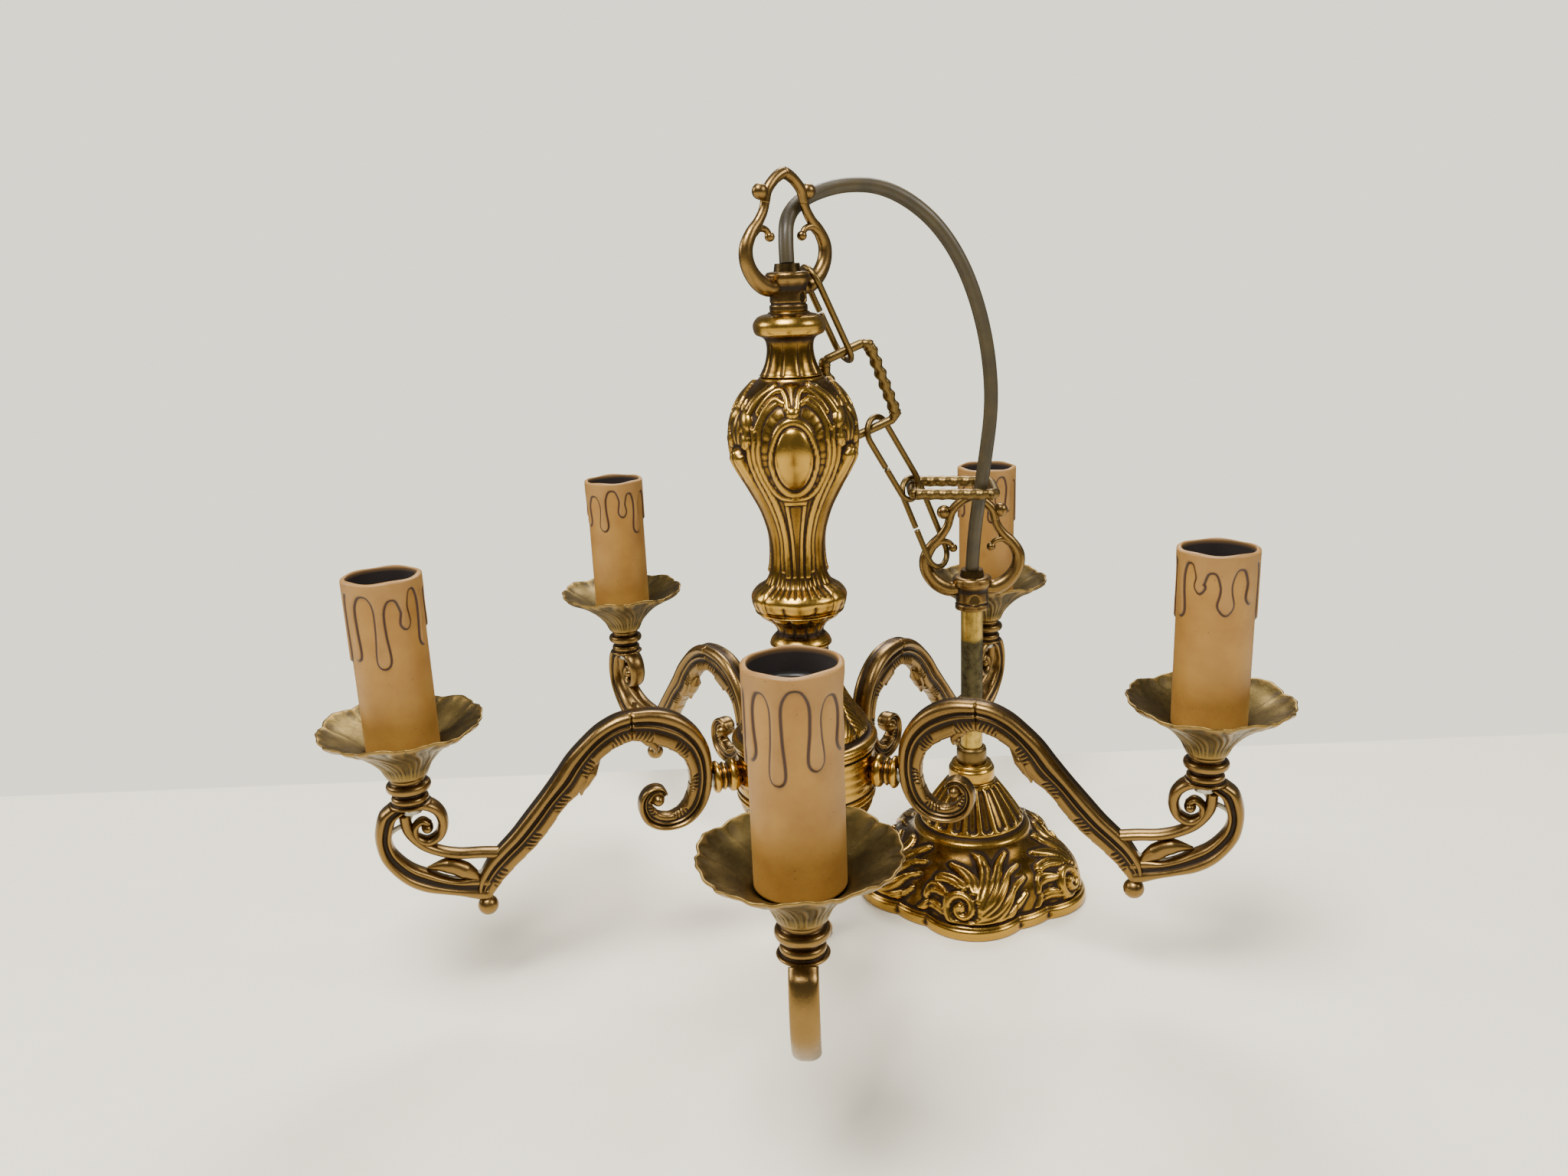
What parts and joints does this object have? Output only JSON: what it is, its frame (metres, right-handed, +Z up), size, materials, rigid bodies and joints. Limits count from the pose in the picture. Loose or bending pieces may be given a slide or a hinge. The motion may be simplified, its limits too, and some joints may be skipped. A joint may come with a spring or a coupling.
{
  "type": "multi arm chandelier",
  "caption": "Cast brass candle-style chandelier with scroll arms around a baluster stem, with its ceiling canopy, flex and chain, standing on a table.",
  "frame": {"origin": "centre of the bottom finial's flat end, on the stem's axis, at table level", "axes": "+Z up the stem, -Y towards the front arm, +X to the right"},
  "size_m": [0.3722, 0.3598, 0.3255],
  "materials": {
    "polished_antique_brass": "polished with brown patina in the recesses",
    "aged_cast_brass": "satin, aged olive brown",
    "tarnished_brass": "dull tarnished",
    "plated_steel": "zinc plated",
    "candle_card": "wax coated card tube",
    "dark_phenolic": "moulded",
    "contact_brass": "stamped",
    "flex_sheath": "smooth flexible sheath"
  },
  "bodies": {
    "root": {"finial": "polished_antique_brass", "hub_bowl": "polished_antique_brass", "hub_ring": "polished_antique_brass", "hub_dome": "polished_antique_brass", "lower_neck": "polished_antique_brass", "baluster": "polished_antique_brass", "upper_neck": "polished_antique_brass", "stem_rod": "plated_steel", "stem_nuts": "plated_steel", "terminal_block": "dark_phenolic", "top_loop": "aged_cast_brass", "canopy_loop": "aged_cast_brass", "loop_set_screws": "plated_steel", "flex_bushings": "tarnished_brass", "inner_flex": "flex_sheath", "canopy_rod": "tarnished_brass", "arm_spacers": "polished_antique_brass", "arm_nipples": "plated_steel", "arm_nuts": "plated_steel", "arm_wires": "flex_sheath", "arm_pins": "plated_steel", "cup_collars": "polished_antique_brass", "cup_nipples": "plated_steel", "lamp_contacts": "contact_brass", "supply_flex": "flex_sheath", "arm_inner_1": "aged_cast_brass", "arm_inner_2": "aged_cast_brass", "arm_inner_3": "aged_cast_brass", "arm_inner_4": "aged_cast_brass", "arm_inner_5": "aged_cast_brass", "arm_outer_1": "aged_cast_brass", "arm_outer_2": "aged_cast_brass", "arm_outer_3": "aged_cast_brass", "arm_outer_4": "aged_cast_brass", "arm_outer_5": "aged_cast_brass", "drip_cup_1": "aged_cast_brass", "drip_cup_2": "aged_cast_brass", "drip_cup_3": "aged_cast_brass", "drip_cup_4": "aged_cast_brass", "drip_cup_5": "aged_cast_brass", "lampholder_1": "dark_phenolic", "lampholder_2": "dark_phenolic", "lampholder_3": "dark_phenolic", "lampholder_4": "dark_phenolic", "lampholder_5": "dark_phenolic"},
    "canopy": {"canopy_bell": "polished_antique_brass", "canopy_collar": "polished_antique_brass", "lock_ring": "tarnished_brass"},
    "candle_1": {"candle_sleeve_1": "candle_card"},
    "candle_2": {"candle_sleeve_2": "candle_card"},
    "candle_3": {"candle_sleeve_3": "candle_card"},
    "candle_4": {"candle_sleeve_4": "candle_card"},
    "candle_5": {"candle_sleeve_5": "candle_card"},
    "link_1": {"chain_link_1": "tarnished_brass"},
    "link_2": {"chain_link_2": "tarnished_brass"},
    "link_3": {"chain_link_3": "tarnished_brass"},
    "link_4": {"chain_link_4": "tarnished_brass"},
    "link_5": {"chain_link_5": "tarnished_brass"}
  },
  "joints": [
    {"name": "canopy_slide", "type": "slide", "parent": "root", "child": "canopy", "axis": [0, 0, 1], "range_m": [0, 0.03]},
    {"name": "candle_lift_1", "type": "slide", "parent": "root", "child": "candle_1", "axis": [0, 0, 1], "range_m": [0, 0.08]},
    {"name": "candle_lift_2", "type": "slide", "parent": "root", "child": "candle_2", "axis": [0, 0, 1], "range_m": [0, 0.08]},
    {"name": "candle_lift_3", "type": "slide", "parent": "root", "child": "candle_3", "axis": [0, 0, 1], "range_m": [0, 0.08]},
    {"name": "candle_lift_4", "type": "slide", "parent": "root", "child": "candle_4", "axis": [0, 0, 1], "range_m": [0, 0.08]},
    {"name": "candle_lift_5", "type": "slide", "parent": "root", "child": "candle_5", "axis": [0, 0, 1], "range_m": [0, 0.08]},
    {"name": "link_swing_1", "type": "hinge", "parent": "root", "child": "link_1", "pos_m": [0.0092, 0.0083, 0.2837], "axis": [0, 1, 0], "range_deg": [-0.8, 0.1]},
    {"name": "link_swing_2", "type": "hinge", "parent": "link_1", "child": "link_2", "pos_m": [0.0229, 0.0173, 0.2526], "axis": [0, 1, 0], "range_deg": [-0.8, 0.15]},
    {"name": "link_swing_3", "type": "hinge", "parent": "link_2", "child": "link_3", "pos_m": [0.0338, 0.02475, 0.2233], "axis": [0, 1, 0], "range_deg": [-0.8, 0.4]},
    {"name": "link_swing_4", "type": "hinge", "parent": "link_3", "child": "link_4", "pos_m": [0.0516, 0.0368, 0.1912], "axis": [0, 1, 0], "range_deg": [-0.8, 0.5]},
    {"name": "link_swing_5", "type": "hinge", "parent": "link_4", "child": "link_5", "pos_m": [0.05, 0.0387, 0.1947], "axis": [0, 1, 0], "range_deg": [-0.8, 0.5]}
  ]
}
